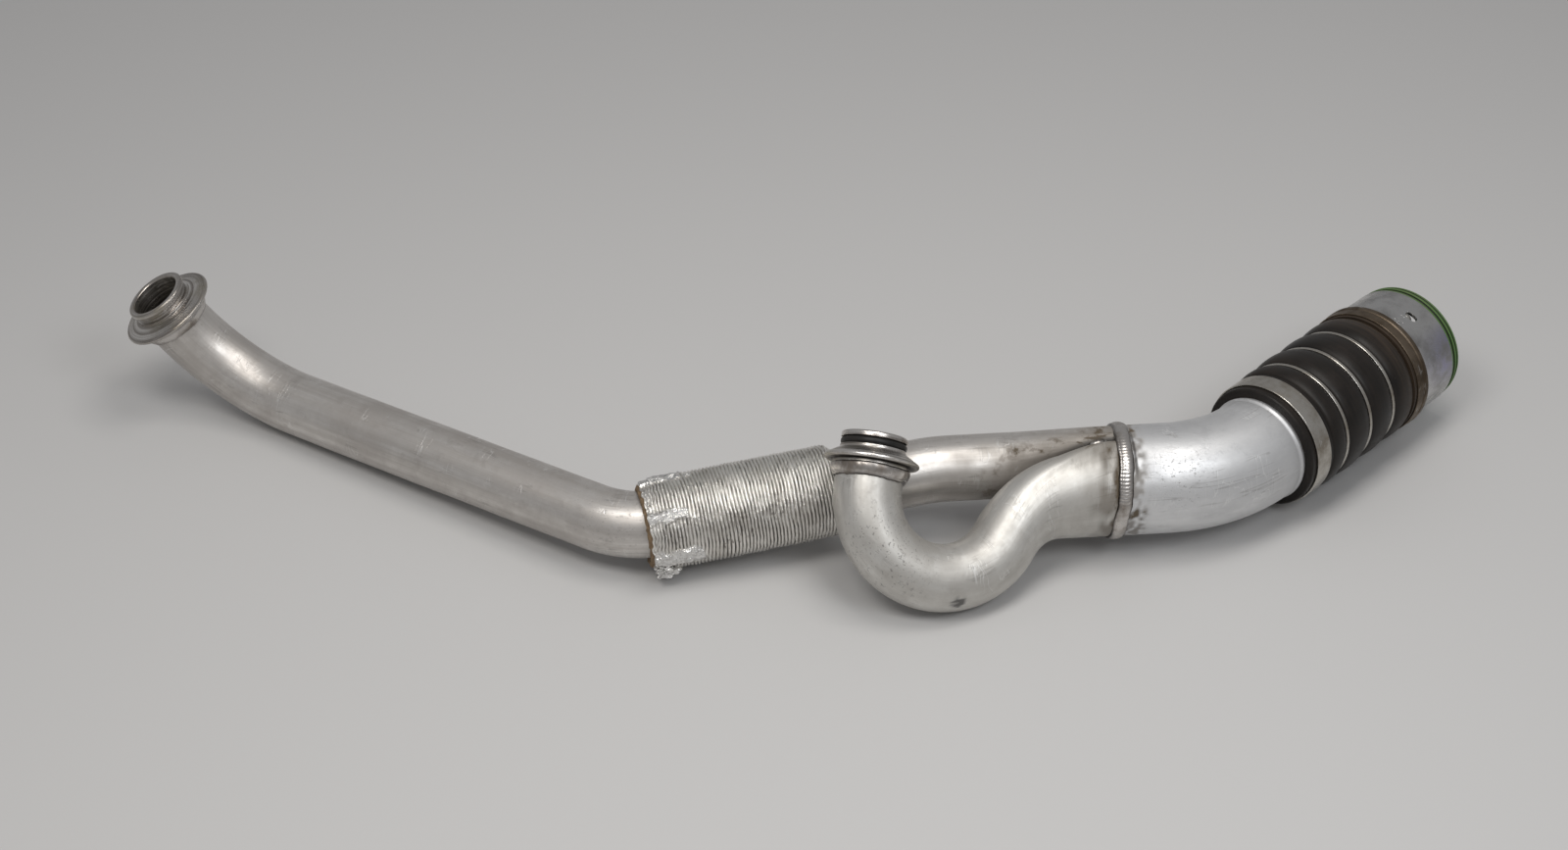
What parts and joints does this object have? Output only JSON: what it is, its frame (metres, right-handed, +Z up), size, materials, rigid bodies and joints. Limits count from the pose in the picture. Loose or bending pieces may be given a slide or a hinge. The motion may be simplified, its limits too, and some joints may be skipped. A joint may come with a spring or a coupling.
{
  "type": "charge air cooler pipe",
  "caption": "Bent aluminium charge air pipe: runners with turned spigots and a foil heat shield merge into a wide elbow that ends in a rubber bellows hose with a quick connector.",
  "frame": {"origin": "centre of the footprint, on the floor the pipe rests on", "axes": "+X along the collector towards the hose, +Y towards the back of the picture, +Z up"},
  "size_m": [0.8012, 0.2754, 0.0981],
  "materials": {
    "tube_aluminium": "dull brushed",
    "elbow_aluminium": "satin",
    "turned_aluminium": "turned, fine lines",
    "weld_aluminium": "rippled weld bead",
    "shield_foil": "embossed foil",
    "liner_fibre": "matte felt",
    "hose_rubber": "dusty matte",
    "o_ring_rubber": "satin",
    "gasket_rubber": "satin",
    "ring_steel": "satin",
    "band_steel": "stained",
    "connector_steel": "bright with an oil film"
  },
  "bodies": {
    "root": {"rear_runner_tube": "tube_aluminium", "front_runner_tube": "tube_aluminium", "collector_elbow": "elbow_aluminium", "collector_weld": "weld_aluminium", "crotch_weld": "weld_aluminium", "rear_turbo_spigot": "turned_aluminium", "rear_spigot_weld": "weld_aluminium", "front_turbo_spigot": "turned_aluminium", "front_spigot_weld": "weld_aluminium", "front_o_ring": "o_ring_rubber", "heat_shield_sleeve": "shield_foil", "heat_shield_liner": "liner_fibre", "bellows_hose": "hose_rubber", "hose_ring_1": "ring_steel", "hose_ring_2": "ring_steel", "hose_ring_3": "ring_steel", "collector_crimp_band": "ring_steel", "connector_crimp_band": "band_steel", "connector_sleeve": "connector_steel", "connector_gasket": "gasket_rubber"}
  },
  "joints": []
}
